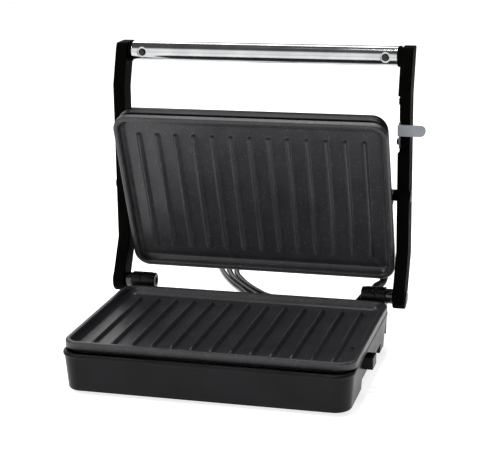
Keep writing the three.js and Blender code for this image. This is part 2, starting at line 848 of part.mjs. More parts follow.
const cordFloor = cordRadius + 0.3;
const behind = (x, y, z) => mm(x, wallY + y, z);
const cordRoute = [
  behind(cordX, reliefLength + gap, cordZ),
  behind(cordX, 38, cordZ),
  behind(-30, 47, 11.5),
  behind(-29.5, 58, 6),
  behind(-29, 70, cordFloor),
  behind(-30, 84, cordFloor),
  behind(-35, 100, cordFloor),
  behind(-46, 117, cordFloor),
  behind(-60, 136, cordFloor),
  behind(-72, 155, cordFloor),
  behind(-82, 174, cordFloor),
  behind(-90, 191, cordFloor),
  behind(-102, 206, cordFloor),
  behind(-114.5, 219.5, cordFloor),
  behind(-125.2, 233, cordFloor),
  behind(-129, 247, cordFloor),
  behind(-125.2, 261, cordFloor),
  behind(-115, 271.2, cordFloor),
  behind(-101, 275, cordFloor),
  behind(-87, 271.2, cordFloor),
  behind(-76.8, 261, cordFloor),
  behind(-73, 247, cordFloor),
  behind(-75, 227, cordFloor),
  behind(-79, 204, cordFloor),
  behind(-79, 187, cordFloor),
  behind(-73, 171, cordFloor),
  behind(-64, 153, cordFloor),
  behind(-51, 134, cordFloor),
  behind(-37, 116, cordFloor),
  behind(-23, 99, cordFloor),
  behind(-14, 83, cordFloor),
  behind(-8.5, 67, cordFloor),
  behind(-3.4, 51, cordFloor),
  behind(2.9, 41, cordFloor),
  behind(12.8, 34.6, cordFloor),
  behind(24.4, 33, cordFloor),
  behind(35.5, 36.6, cordFloor),
  behind(44.1, 44.5, cordFloor),
  behind(48.6, 55.3, cordFloor),
  behind(48.1, 67, cordFloor),
  behind(42.7, 77.4, cordFloor),
  behind(33.4, 84.5, cordFloor),
  behind(17, 91.5, cordFloor),
  behind(0.5, 97.5, cordFloor),
  behind(-16, 105, cordFloor),
  behind(-31, 119, cordFloor),
  behind(-45, 136, cordFloor),
  behind(-57, 154, cordFloor),
  behind(-66, 171, cordFloor),
  behind(-70, 186, cordFloor),
  behind(-70.5, 203, cordFloor),
  behind(-63, 218, cordFloor),
  behind(-50, 227, cordFloor),
  behind(-38, 230, 4.4),
  behind(-27, 231, 6.8),
  behind(-18, 231, 7.5),
];
const cordPath = new THREE.CatmullRomCurve3(cordRoute);
piece(cord, "mains_cord", tubeAlong(cordPath, cordRadius, 72, 4), cordBlack);

// plug lying on the table at the end of the cord, along +X
const plugX = cordRoute.at(-1).x + gap;
const plugY = cordRoute.at(-1).y;
const plugZ = plugThickness / 2;

function plugBody() {
  const outline = new THREE.Shape();
  const half = plugWidth / 2;
  outline.moveTo(0, -4.5);
  outline.lineTo(10, -5.5);
  outline.bezierCurveTo(16, -7, 16, -half, 24, -half);
  outline.lineTo(plugLength, -half + 3);
  outline.lineTo(plugLength, half - 3);
  outline.lineTo(24, half);
  outline.bezierCurveTo(16, half, 16, 7, 10, 5.5);
  outline.lineTo(0, 4.5);
  return new THREE.ExtrudeGeometry(outline, {
    depth: plugThickness - 4,
    curveSegments: 5,
    bevelThickness: 2,
    bevelSize: 1.5,
    bevelOffset: -1.5,
    bevelSegments: 2,
  }).translate(plugX, plugY, 2.2);
}

const pinX = plugX + plugLength - 8;
const pins = sides.map(([name, s]) => {
  const y = plugY + (s * pinSpacing) / 2;
  return [name, y];
});
const pinHoles = pins.map(([, y]) => rod(pinRadius + gap, mm(pinX, y, plugZ), mm(pinX + 40, y, plugZ), 16));
piece(cord, "plug_body", cut(plugBody(), ...pinHoles), cordBlack);
for (const [name, y] of pins) {
  const end = plugX + plugLength + pinLength;
  piece(cord, `plug_pin_${name}`, rod(pinRadius, mm(pinX + gap, y, plugZ), mm(end, y, plugZ), 16), brass);
}

// ---- the press, moved so that the origin is the middle of its footprint on the table ----
const body = new THREE.Group();
body.add(base, arms, upper, lock);
body.updateMatrixWorld(true);
const footprint = new THREE.Box3().setFromObject(body, true);
const middle = footprint.getCenter(mm(0, 0, 0));

const press = new THREE.Group();
press.add(body, cord);
press.position.set(-middle.x, -middle.y, -footprint.min.z);

export default press;
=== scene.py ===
import json
from math import copysign, cos, hypot, pi, radians, sin, sqrt

import bmesh
import bpy
from mathutils import Matrix, Vector


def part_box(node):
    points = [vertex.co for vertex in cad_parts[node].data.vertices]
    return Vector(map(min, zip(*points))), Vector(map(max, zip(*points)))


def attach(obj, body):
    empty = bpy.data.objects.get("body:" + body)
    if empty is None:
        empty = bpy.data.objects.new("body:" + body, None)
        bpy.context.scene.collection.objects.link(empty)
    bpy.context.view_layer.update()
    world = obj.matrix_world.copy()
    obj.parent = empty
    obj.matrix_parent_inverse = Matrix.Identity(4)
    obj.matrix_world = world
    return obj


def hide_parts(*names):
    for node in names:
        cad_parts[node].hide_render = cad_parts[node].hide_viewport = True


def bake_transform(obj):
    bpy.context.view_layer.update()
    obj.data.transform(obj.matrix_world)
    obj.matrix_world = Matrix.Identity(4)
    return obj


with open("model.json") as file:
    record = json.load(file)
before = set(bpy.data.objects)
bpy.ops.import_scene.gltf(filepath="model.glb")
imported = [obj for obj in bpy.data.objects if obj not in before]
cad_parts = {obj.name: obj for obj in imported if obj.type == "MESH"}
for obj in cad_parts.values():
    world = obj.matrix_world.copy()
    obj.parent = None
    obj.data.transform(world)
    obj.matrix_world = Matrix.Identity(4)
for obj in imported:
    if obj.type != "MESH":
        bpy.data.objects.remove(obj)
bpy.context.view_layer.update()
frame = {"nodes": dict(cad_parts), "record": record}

# the press is worked out in millimetres from the middle of the lower plate
plateLow, plateHigh = (Vector(c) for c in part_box("lower_grill_plate"))
middle = (plateLow + plateHigh) / 2
toFrame = Matrix.Translation((middle.x, middle.y, 0)) @ Matrix.Scale(0.001, 4)
fromFrame = toFrame.inverted()
joints = {j["name"]: j for j in frame["record"]["behaviour"]["joints"]}
hinge = fromFrame @ Vector(joints["arms_hinge"]["pos_m"])
pivot = fromFrame @ Vector(joints["upper_tilt"]["pos_m"])
openTilt = 71
closedToOpen = Matrix.Translation((0, pivot.y, pivot.z)) @ Matrix.Rotation(radians(-openTilt), 4, "X")


def nodeBox(name):
    low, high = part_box(name)
    return fromFrame @ Vector(low), fromFrame @ Vector(high)


# camera
camera = {
    "place": (322.1, -1110.6, 444.2),
    "yaw": 0.272,
    "down": 0.269,
    "roll": -0.019,
    "lens": 106.03,
}


def makeCamera():
    data = bpy.data.cameras.new("camera")
    data.lens = camera["lens"]
    data.sensor_width = 36
    made = bpy.data.objects.new("camera", data)
    turn = (
        Matrix.Rotation(camera["yaw"], 4, "Z")
        @ Matrix.Rotation(pi / 2 - camera["down"], 4, "X")
        @ Matrix.Rotation(camera["roll"], 4, "Z")
    )
    made.matrix_world = Matrix.Translation(toFrame @ Vector(camera["place"])) @ turn
    bpy.context.scene.collection.objects.link(made)
    bpy.context.scene.camera = made


makeCamera()


# materials
class Signal:
    # a socket that takes part in sums, each of which adds a Math node

    def __init__(self, graph, socket):
        self.graph = graph
        self.socket = socket

    def combine(self, operation, first, second):
        return self.graph.node("ShaderNodeMath", {"operation": operation}, {0: first, 1: second})

    def __add__(self, other):
        return self.combine("ADD", self, other)

    __radd__ = __add__

    def __mul__(self, other):
        return self.combine("MULTIPLY", self, other)

    __rmul__ = __mul__

    def __sub__(self, other):
        return self.combine("SUBTRACT", self, other)

    def __rsub__(self, other):
        return self.combine("SUBTRACT", other, self)

    def __lt__(self, other):
        return self.combine("LESS_THAN", self, other)

    def ramp(self, low, high, toLow=0.0, toHigh=1.0):
        return self.graph.node(
            "ShaderNodeMapRange",
            {"interpolation_type": "SMOOTHSTEP"},
            {"Value": self, "From Min": low, "From Max": high, "To Min": toLow, "To Max": toHigh},
        )


class Graph:
    def __init__(self, name):
        self.material = bpy.data.materials.new(name)
        self.material.use_nodes = True
        self.tree = self.material.node_tree
        self.tree.nodes.clear()
        self.place = self.node("ShaderNodeTexCoord", out="Object")

    def node(self, kind, settings=None, inputs=None, out=0):
        made = self.tree.nodes.new(kind)
        for key, value in (settings or {}).items():
            setattr(made, key, value)
        for key, value in (inputs or {}).items():
            if isinstance(value, Signal):
                self.tree.links.new(value.socket, made.inputs[key])
            else:
                made.inputs[key].default_value = value
        return Signal(self, made.outputs[out])

    # grain of that size in millimetres, from 0 to 1
    def noise(self, size, detail=2.0, vector=None):
        return self.node(
            "ShaderNodeTexNoise",
            None,
            {"Vector": vector or self.place, "Scale": 1000 / size, "Detail": detail},
        )

    def specks(self, size, share):
        cells = self.node("ShaderNodeTexVoronoi", None, {"Vector": self.place, "Scale": 1000 / size})
        return cells < share

    def stretched(self, x, y, z):
        return self.node("ShaderNodeMapping", None, {"Vector": self.place, "Scale": (x, y, z)})

    def blend(self, mask, first, second):
        return self.node(
            "ShaderNodeMix",
            {"data_type": "RGBA"},
            {"Factor": mask, 6: first if isinstance(first, Signal) else (*first, 1), 7: (*second, 1)},
            out=2,
        )

    def bump(self, height, strength, distance):
        return self.node(
            "ShaderNodeBump", None, {"Height": height, "Strength": strength, "Distance": distance * 0.001}
        )

    def finish(self, **sockets):
        names = {
            "color": "Base Color",
            "roughness": "Roughness",
            "metallic": "Metallic",
            "specular": "Specular IOR Level",
            "coat": "Coat Weight",
            "coatRoughness": "Coat Roughness",
            "emission": "Emission Color",
            "glow": "Emission Strength",
            "normal": "Normal",
        }
        shader = self.node(
            "ShaderNodeBsdfPrincipled", None, {names[k]: v for k, v in sockets.items()}
        )
        output = self.tree.nodes.new("ShaderNodeOutputMaterial")
        self.tree.links.new(shader.socket, output.inputs["Surface"])
        return self.material


def mouldedBlack():
    look = {"deep": (0.0022, 0.0024, 0.0030), "worn": (0.0055, 0.0059, 0.0070), "grain": 0.7}
    g = Graph("mouldedBlack")
    clouds = g.noise(38, 3.0)
    grain = g.noise(look["grain"], 2.0)
    color = g.blend(clouds.ramp(0.35, 0.7), look["deep"], look["worn"])
    rough = clouds.ramp(0.3, 0.75, 0.27, 0.36) + grain * 0.06
    return g.finish(
        color=color, roughness=rough, specular=0.14, normal=g.bump(grain, 0.25, 0.08)
    )


def glossBlack():
    look = {"deep": (0.0015, 0.0014, 0.0012), "light": (0.0028, 0.0026, 0.0023)}
    g = Graph("glossBlack")
    clouds = g.noise(25, 2.0)
    fine = g.noise(1.1, 2.0)
    color = g.blend(clouds.ramp(0.4, 0.7), look["deep"], look["light"])
    return g.finish(
        color=color,
        roughness=clouds.ramp(0.3, 0.7, 0.52, 0.62),
        specular=0.01,
        normal=g.bump(fine, 0.08, 0.03),
    )


def nonStickCoat():
    look = {
        "deep": (0.0215, 0.021, 0.0245),
        "light": (0.031, 0.030, 0.034),
        "speck": (0.2, 0.195, 0.21),
        "speckSize": 1.6,
    }
    g = Graph("nonStickCoat")
    clouds = g.noise(22, 3.0)
    grain = g.noise(0.55, 3.0)
    specks = g.specks(look["speckSize"], 0.2) * g.noise(4, 1.0).ramp(0.45, 0.65)
    color = g.blend(clouds.ramp(0.3, 0.72), look["deep"], look["light"])
    color = g.blend(specks, color, look["speck"])
    return g.finish(
        color=color,
        roughness=grain.ramp(0.3, 0.7, 0.31, 0.43) - specks * 0.08,
        specular=0.5,
        normal=g.bump(grain, 0.35, 0.07),
    )


def polishedChrome():
    look = {"dim": (0.46, 0.465, 0.475), "bright": (0.54, 0.545, 0.55)}
    g = Graph("polishedChrome")
    lines = g.noise(0.6, 2.0, g.stretched(0.02, 1, 1))
    smears = g.noise(18, 2.0)
    return g.finish(
        color=g.blend(smears.ramp(0.35, 0.7), look["dim"], look["bright"]),
        metallic=1.0,
        roughness=lines.ramp(0.3, 0.7, 0.09, 0.15) + smears * 0.03,
        normal=g.bump(lines, 0.05, 0.02),
    )


def plainMetal(name, dark, light, low, high, stretch=(1, 1, 1)):
    g = Graph(name)
    scratch = g.noise(0.9, 3.0, g.stretched(*stretch))
    clouds = g.noise(9, 2.0)
    return g.finish(
        color=g.blend(clouds.ramp(0.3, 0.7), dark, light),
        metallic=1.0,
        roughness=scratch.ramp(0.3, 0.7, low, high),
        normal=g.bump(scratch, 0.12, 0.03),
    )


def leverGrey():
    look = {"dim": (0.27, 0.285, 0.315), "bright": (0.31, 0.325, 0.355)}
    g = Graph("leverGrey")
    clouds = g.noise(9, 2.0)
    grain = g.noise(0.5, 2.0)
    return g.finish(
        color=g.blend(clouds.ramp(0.3, 0.7), look["dim"], look["bright"]),
        roughness=grain.ramp(0.3, 0.7, 0.42, 0.55),
        specular=0.4,
        normal=g.bump(grain, 0.2, 0.05),
    )


def softBlack(name, dark, light, low, high, specular):
    g = Graph(name)
    clouds = g.noise(6, 2.0)
    grain = g.noise(0.35, 2.0)
    return g.finish(
        color=g.blend(clouds.ramp(0.3, 0.7), dark, light),
        roughness=grain.ramp(0.3, 0.7, low, high),
        specular=specular,
        normal=g.bump(grain, 0.15, 0.04),
    )


def firedClay():
    look = {"dim": (0.62, 0.59, 0.52), "bright": (0.74, 0.71, 0.64)}
    g = Graph("firedClay")
    grain = g.noise(0.8, 3.0)
    return g.finish(
        color=g.blend(g.noise(5).ramp(0.3, 0.7), look["dim"], look["bright"]),
        roughness=grain.ramp(0.3, 0.7, 0.6, 0.8),
        normal=g.bump(grain, 0.2, 0.05),
    )


materials = {
    "black_shell": mouldedBlack(),
    "gloss_black": glossBlack(),
    "non_stick": nonStickCoat(),
    "chrome": polishedChrome(),
    "steel": plainMetal("plainSteel", (0.36, 0.36, 0.37), (0.5, 0.5, 0.51), 0.28, 0.42),
    "dark_steel": plainMetal("darkSteel", (0.03, 0.03, 0.032), (0.055, 0.055, 0.06), 0.3, 0.45),
    "grey_lever": leverGrey(),
    "rubber": softBlack("softRubber", (0.012, 0.012, 0.012), (0.022, 0.022, 0.022), 0.6, 0.8, 0.3),
    "satinBlack": softBlack("satinBlack", (0.003, 0.003, 0.003), (0.006, 0.006, 0.006), 0.2, 0.3, 0.18),
    "pianoBlack": softBlack("pianoBlack", (0.003, 0.003, 0.003), (0.005, 0.005, 0.005), 0.1, 0.14, 0.7),
    "cord_black": softBlack("cordJacket", (0.005, 0.005, 0.0055), (0.009, 0.009, 0.0095), 0.2, 0.28, 0.3),
    "aluminium": plainMetal("millSheet", (0.5, 0.5, 0.51), (0.62, 0.62, 0.63), 0.3, 0.5, (0.05, 1, 1)),
    "brass": plainMetal("pinBrass", (0.55, 0.42, 0.2), (0.68, 0.53, 0.27), 0.2, 0.35),
    "ceramic": firedClay(),
}
for part in frame["record"]["subparts"]:
    shown = frame["nodes"][part["node"]]
    for materialSlot in shown.material_slots:
        materialSlot.material = materials[part["material_slot"]]
print("materials made")


# mesh helpers
def smoothed(bm, sharpAngle=0.75, bendAngle=None):
    for face in bm.faces:
        face.smooth = True
    for edge in bm.edges:
        angle = edge.calc_face_angle(0)
        run = edge.verts[0].co - edge.verts[1].co
        alongX = abs(run.x) > 0.99 * run.length
        edge.smooth = angle < sharpAngle and not (bendAngle and alongX and angle > bendAngle)


def newPiece(bm, name, slotName, body, nodes=(), place=None, look=None, **smoothing):
    bmesh.ops.remove_doubles(bm, verts=bm.verts, dist=0.001)
    bmesh.ops.recalc_face_normals(bm, faces=bm.faces)
    if bm.calc_volume(signed=True) < 0:
        bmesh.ops.reverse_faces(bm, faces=bm.faces)
    smoothed(bm, **smoothing)
    bm.transform(toFrame @ (place or Matrix()))
    mesh = bpy.data.meshes.new(name)
    bm.to_mesh(mesh)
    bm.free()
    made = bpy.data.objects.new(name, mesh)
    bpy.context.scene.collection.objects.link(made)
    mesh.materials.append(materials[look or slotName])
    evened = made.modifiers.new("evenShading", "WEIGHTED_NORMAL")
    evened.keep_sharp = True
    if body:
        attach(made, body)
    if nodes:
        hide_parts(*nodes)
    return made


# corners of a profile rounded: each point is (across, up, radius)
def softened(points, steps=3):
    out = []
    for i, (x, z, radius) in enumerate(points):
        here = Vector((x, z))
        if not radius or i in (0, len(points) - 1):
            out.append((x, z))
            continue
        before = Vector(points[i - 1][:2])
        after = Vector(points[i + 1][:2])
        a = here + (before - here).normalized() * radius
        b = here + (after - here).normalized() * radius
        for k in range(steps + 1):
            t = k / steps
            p = a * (1 - t) ** 2 + here * 2 * t * (1 - t) + b * t * t
            out.append((p.x, p.y))
    return out


# one rounded rectangle drawn out ring after ring, inset and raised as the profile says
def ringStack(bm, width, depth, corner, profile, steps, closed=False, caps=False):
    turn = pi / 4 / steps
    place = Matrix.Rotation(turn, 4, "Z")
    ring = bmesh.ops.create_circle(
        bm, cap_ends=False, radius=1 / cos(turn), segments=4 * steps, matrix=place
    )["verts"]
    directions = [v.co.copy() for v in ring]
    edges = list({e for v in ring for e in v.link_edges})

    def shape(verts, inset, z):
        radius = max(corner - inset, 1.0)
        for v, way in zip(verts, directions):
            v.co.x = copysign(width / 2 - inset - radius, way.x) + way.x * radius
            v.co.y = copysign(depth / 2 - inset - radius, way.y) + way.y * radius
            v.co.z = z

    shape(ring, *profile[0])
    if caps:
        bmesh.ops.edgeloop_fill(bm, edges=edges)
    for inset, z in profile[1:] + (profile[:1] if closed else []):
        grown = bmesh.ops.extrude_edge_only(bm, edges=edges)["geom"]
        fresh = {g for g in grown if isinstance(g, bmesh.types.BMVert)}
        edges = [g for g in grown if isinstance(g, bmesh.types.BMEdge) and set(g.verts) <= fresh]
        ring = [next(e.other_vert(v) for e in v.link_edges if e.other_vert(v) in fresh) for v in ring]
        shape(ring, inset, z)
    if caps:
        return bmesh.ops.edgeloop_fill(bm, edges=edges)["faces"]
    return []


# a profile of (radius, along) turned round a line
def turned(bm, profile, start, direction, steps, closed=False):
    along = Vector(direction).normalized()
    side = along.orthogonal().normalized()
    verts = [bm.verts.new(Vector(start) + along * a + side * r) for r, a in profile]
    edges = [bm.edges.new(pair) for pair in zip(verts, verts[1:])]
    if closed:
        edges.append(bm.edges.new((verts[-1], verts[0])))
    bmesh.ops.spin(
        bm,
        geom=verts + edges,
        cent=start,
        axis=along,
        angle=2 * pi,
        steps=steps,
        use_merge=True,
        use_duplicate=False,
    )
    bmesh.ops.remove_doubles(bm, verts=bm.verts, dist=0.0005)


# outline of a sleeve with softened rims, bored right through
def sleeveProfile(radius, bore, length, edge):
    e = edge * 0.3
    return [
        (bore, 0),
        (radius - edge, 0),
        (radius - e, e),
        (radius, edge),
        (radius, length - edge),
        (radius - e, length - e),
        (radius - edge, length),
        (bore, length),
    ]


def rounded(bm, edges, offset, segments, **more):
    bmesh.ops.bevel(
        bm,
        geom=edges,
        offset=offset,
        segments=segments,
        affect="EDGES",
        profile=0.5,
        material=-1,
        **more,
    )


# a flat face drawn out into a solid
def drawnOut(bm, corners, by):
    face = bm.faces.new([bm.verts.new(corner) for corner in corners])
    grown = bmesh.ops.extrude_face_region(bm, geom=[face])
    moved = [g for g in grown["geom"] if isinstance(g, bmesh.types.BMVert)]
    bmesh.ops.translate(bm, verts=moved, vec=by)


def brick(bm, low, high, bevel=0.0):
    low = Vector(low)
    high = Vector(high)
    size = high - low
    place = Matrix.Translation((low + high) / 2) @ Matrix.Diagonal((*size, 1))
    made = bmesh.ops.create_cube(bm, size=1, matrix=place)["verts"]
    if bevel:
        rounded(bm, list({e for v in made for e in v.link_edges}), bevel, 2)


def cutterOf(build):
    bm = bmesh.new()
    build(bm)
    return newPiece(bm, "cutter", "black_shell", None)


# takes the cutters out of a piece and throws them away
def carve(piece, cutters, **smoothing):
    for cutter in cutters:
        step = piece.modifiers.new("carve", "BOOLEAN")
        step.operation = "DIFFERENCE"
        step.solver = "EXACT"
        step.object = cutter
    bpy.context.view_layer.update()
    carved = bpy.data.meshes.new_from_object(
        piece.evaluated_get(bpy.context.evaluated_depsgraph_get())
    )
    for step in piece.modifiers[:]:
        if step.type == "BOOLEAN":
            piece.modifiers.remove(step)
    bm = bmesh.new()
    bm.from_mesh(carved)
    bmesh.ops.remove_doubles(bm, verts=bm.verts, dist=1e-6)
    bmesh.ops.dissolve_degenerate(bm, edges=bm.edges, dist=1e-6)
    smoothed(bm, **smoothing)
    bm.to_mesh(piece.data)
    bm.free()
    bpy.data.meshes.remove(carved)
    for cutter in cutters:
        bpy.data.objects.remove(cutter)


# mains cord, its strain relief and plug
cord = {"radius": 2.75, "reliefX": -30, "reliefZ": 14, "reliefLength": 30, "wallY": 86}
floorZ = cord["radius"] + 0.3
# x, distance behind the back wall, height
cordRoute = [
    (-30, 28, 14),
    (-30, 38, 14),
    (-30, 47, 11.5),
    (-29.5, 58, 6),
    (-29, 70, floorZ),
    (-30, 84, floorZ),
    (-35, 100, floorZ),
    (-46, 117, floorZ),
    (-60, 136, floorZ),
    (-72, 155, floorZ),
    (-82, 174, floorZ),
    (-90, 191, floorZ),
    (-102, 206, floorZ),
    (-114.5, 219.5, floorZ),
    (-125.2, 233, floorZ),
    (-129, 247, floorZ),
    (-125.2, 261, floorZ),
    (-115, 271.2, floorZ),
    (-101, 275, floorZ),
    (-87, 271.2, floorZ),
    (-76.8, 261, floorZ),
    (-73, 247, floorZ),
    (-75, 227, floorZ),
    (-79, 204, floorZ),
    (-79, 187, floorZ),
    (-73, 171, floorZ),
    (-64, 153, floorZ),
    (-51, 134, floorZ),
    (-37, 116, floorZ),
    (-23, 99, floorZ),
    (-14, 83, floorZ),
    (-8.5, 67, floorZ),
    (-3.4, 51, floorZ),
    (2.9, 41, floorZ),
    (12.8, 34.6, floorZ),
    (24.4, 33, floorZ),
    (35.5, 36.6, floorZ),
    (44.1, 44.5, floorZ),
    (48.6, 55.3, floorZ),
    (48.1, 67, floorZ),
    (42.7, 77.4, floorZ),
    (33.4, 84.5, floorZ),
    (17, 91.5, floorZ),
    (0.5, 97.5, floorZ),
    (-16, 105, floorZ),
    (-31, 119, floorZ),
    (-45, 136, floorZ),
    (-57, 154, floorZ),
    (-66, 171, floorZ),
    (-70, 186, floorZ),
    (-70.5, 203, floorZ),
    (-63, 218, floorZ),
    (-50, 227, floorZ),
    (-38, 230, 4.4),
    (-27, 231, 6.8),
    (-15, 231, 7.5),
]


def makeCord():
    data = bpy.data.curves.new("mainsCord", "CURVE")
    data.dimensions = "3D"
    data.bevel_depth = cord["radius"] * 0.001
    data.bevel_resolution = 5
    data.resolution_u = 6
    data.use_fill_caps = True
    line = data.splines.new("BEZIER")
    line.bezier_points.add(len(cordRoute) - 1)
    for point, (x, behind, z) in zip(line.bezier_points, cordRoute):
        point.co = toFrame @ Vector((x, cord["wallY"] + behind, z))
        point.handle_left_type = "AUTO"
        point.handle_right_type = "AUTO"
    made = bpy.data.objects.new("mainsCord", data)
    bpy.context.scene.collection.objects.link(made)
    data.materials.append(materials["cord_black"])
    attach(made, "base")
    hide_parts("mains_cord")
    return made


def makeRelief():
    bm = bmesh.new()
    length = cord["reliefLength"]
    ribs = 6
    # a flange, then a taper with ribs moulded round it
    profile = [(0, -5.5), (7, -5.5), (7, -2.8), (5, -2.8), (5, 0.3)]
    profile += [(6.6, 0.3), (7, 0.7), (7, 2.6), (6.6, 3)]
    for i in range(ribs):
        a = 4.4 + i * (length - 6) / ribs
        r = 5.3 - i * 1.5 / ribs
        profile += [(r - 0.75, a - 0.5), (r - 0.75, a), (r, a + 0.5)]
        profile += [(r - 0.1, a + 2.4), (r - 0.75, a + 2.9)]
    profile += [(cord["radius"] + 0.7, length - 1.2), (cord["radius"] + 0.6, length), (0, length)]
    turned(bm, profile, (cord["reliefX"], cord["wallY"], cord["reliefZ"]), (0, 1, 0), 40)
    return newPiece(bm, "cordRelief", "rubber", "base", ["cord_relief"])


def makePlug():
    low, high = nodeBox("plug_body")
    centre = (low + high) / 2
    bm = bmesh.new()
    # waist of the plug from a box cut in slices along X and drawn in towards the cord
    brick(bm, low, high)
    slices = 12
    for i in range(1, slices):
        at = low.x + (high.x - low.x) * i / slices
        geometry = bm.verts[:] + bm.edges[:] + bm.faces[:]
        bmesh.ops.bisect_plane(bm, geom=geometry, plane_co=(at, 0, 0), plane_no=(1, 0, 0), dist=0.001)
    for v in bm.verts:
        t = (v.co.x - low.x) / (high.x - low.x)
        rise = min(max((t - 0.18) / 0.5, 0), 1)
        wide = 0.3 + 0.7 * rise * rise * (3 - 2 * rise)
        tall = 0.72 + 0.28 * min(t / 0.5, 1)
        v.co.y = centre.y + (v.co.y - centre.y) * wide
        v.co.z = centre.z + (v.co.z - centre.z) * tall

    def atAnEnd(v):
        return abs(v.co.x - high.x) < 0.01 or abs(v.co.x - low.x) < 0.01

    around = [e for e in bm.edges if abs((e.verts[0].co - e.verts[1].co).normalized().x) > 0.3]
    ends = [e for e in bm.edges if all(atAnEnd(v) for v in e.verts)]
    rounded(bm, list(set(around + ends)), 2.2, 4, clamp_overlap=True)
    body = newPiece(bm, "plugBody", "cord_black", "base", ["plug_body"])
    pins = []
    for name in ("left", "right"):
        low, high = nodeBox(f"plug_pin_{name}")
        radius = (high.z - low.z) / 2
        bm = bmesh.new()
        length = high.x - low.x
        profile = [(0, 0), (radius, 0), (radius, length - 1.6)]
        profile += [(radius * 0.8, length - 0.5), (radius * 0.4, length), (0, length)]
        start = (low.x, (low.y + high.y) / 2, (low.z + high.z) / 2)
        turned(bm, profile, start, (1, 0, 0), 24)
        pins.append(newPiece(bm, f"plugPin_{name}", "brass", "base", [f"plug_pin_{name}"]))
    return [body, *pins]


relief = makeRelief()
plugPieces = makePlug()
flex = makeCord()
print("cord laid")

# grill plates
plate = {
    "width": 247,
    "depth": 160,
    "corner": 14,
    "ribs": 13,
    "ribPitch": 17,
    "ribLength": 123,
    "ribHeight": 3,
    "ribFoot": 3.1,
    "floor": -7.2,
    # inset from the outer edge, height, rounding; from the underside to the pan floor
    "profile": [
        (5, -10.2, 0),
        (5, -6.8, 0.8),
        (0, -6.8, 0.9),
        (0, 0, 1.7),
        (4.6, 0, 1.6),
        (5.6, -4.2, 1.2),
        (8.2, -7.2, 1.6),
        (10.5, -7.2, 0),
    ],
}


endCentre = plate["ribLength"] / 2 - 2.8  # where the round end of each rib begins
lastRib = (plate["ribs"] - 1) / 2


def ribRise(x, y):
    pitch = plate["ribPitch"]
    index = max(-lastRib, min(lastRib, round(x / pitch)))
    away = hypot(x - index * pitch, max(abs(y) - endCentre, 0))
    if away >= plate["ribFoot"]:
        return 0
    return plate["ribHeight"] * (0.5 + 0.5 * cos(pi * away / plate["ribFoot"])) ** 0.72


def makePlate(bm):
    floor = plate["floor"]
    pan = ringStack(
        bm,
        plate["width"],
        plate["depth"],
        plate["corner"],
        softened(plate["profile"], 4),
        steps=12,
        caps=True,
    )
    offsets = (0, 0.6, 1.1, 1.6, 2.1, 2.6, 3.1)
    cutsY = [s * (endCentre + o) for s in (-1, 1) for o in offsets] + [-30, 0, 30]
    spread = sorted({s * o for s in (-1, 1) for o in offsets})
    cutsX = [(i - lastRib) * plate["ribPitch"] + o for i in range(plate["ribs"]) for o in spread]

    def slice(faces, point, normal):
        geometry = list({g for f in faces for g in (*f.verts, *f.edges, f)})
        found = bmesh.ops.bisect_plane(
            bm, geom=geometry, plane_co=point, plane_no=normal, dist=0.0005
        )
        return [g for g in found["geom"] if isinstance(g, bmesh.types.BMFace)]

    for y in cutsY:
        pan = slice(pan, (0, y, 0), (0, 1, 0))
    rest = pan
    for x in sorted(cutsX):
        parts = slice(rest, (x, 0, 0), (1, 0, 0))
        rest = [f for f in parts if f.calc_center_median().x > x]
    for v in bm.verts:
        if abs(v.co.z - floor) < 0.01:
            v.co.z += ribRise(v.co.x, v.co.y)


def placedPlate(name, body, node, place):
    bm = bmesh.new()
    makePlate(bm)
    return newPiece(bm, name, "non_stick", body, [node], place, sharpAngle=1.1)


plateTop = nodeBox("lower_grill_plate")[1].z
lowerPlate = placedPlate(
    "lowerPlate", "base", "lower_grill_plate", Matrix.Translation((0, 0, plateTop))
)
drain = {"x": 111, "y": -25, "radius": 1.6}


def drainTool(bm):
    start = (drain["x"], drain["y"], plateTop - 20)
    turned(bm, [(0, 0), (drain["radius"], 0), (drain["radius"], 22), (0, 22)], start, (0, 0, 1), 32)


carve(lowerPlate, [cutterOf(drainTool)], sharpAngle=1.1)

upper = {"plateOffset": -3.5, "rimFace": -23.5}
rimPlace = Matrix.Translation((0, upper["plateOffset"], upper["rimFace"]))
plateFlip = rimPlace @ Matrix.Rotation(pi, 4, "X")
placedPlate("upperPlate", "upper", "upper_grill_plate", closedToOpen @ plateFlip)
print("plates made")

# base
baseShell = {
    "width": 239.6,
    "depth": 172,
    "corner": 14,
    # inset from the wall's outer face, height, rounding; up the outside, over the lip, down the inside
    "profile": [
        (2.5, 3.0, 0),
        (0.6, 3.0, 0),
        (0.0, 3.6, 0),
        (-2.3, 32.0, 0.4),
        (-3.4, 32.4, 0.5),
        (-3.4, 35.4, 1.5),
        (1.0, 35.4, 0.8),
        (1.0, 32.5, 0.4),
        (7.3, 32.5, 0.5),
        (7.3, 31.0, 0.4),
        (2.5, 31.0, 0),
    ],
    "bay": (-33, 55, 12.3),
    "spoutHole": (-33.3, -16.7, 20.8, 30.85),
}


def makeBase():
    s = baseShell
    bm = bmesh.new()
    ringStack(bm, s["width"], s["depth"], s["corner"], softened(s["profile"]), steps=14, closed=True)
    made = newPiece(bm, "baseShell", "black_shell", "base", ["base_housing"])
    wallX = s["width"] / 2
    front, back, top = s["bay"]
    y0, y1, z0, z1 = s["spoutHole"]

    def bayTool(bm):
        brick(bm, (wallX - 5, front, 0), (wallX + 9, back, top))

    def spoutTool(bm):
        brick(bm, (wallX - 5, y0, z0), (wallX + 9, y1, z1))

    def cordTool(bm):
        start = (cord["reliefX"], cord["wallY"] - 5, cord["reliefZ"])
        turned(bm, [(0, 0), (5.2, 0), (5.2, 12), (0, 12)], start, (0, 1, 0), 32)

    carve(made, [cutterOf(bayTool), cutterOf(spoutTool), cutterOf(cordTool)])


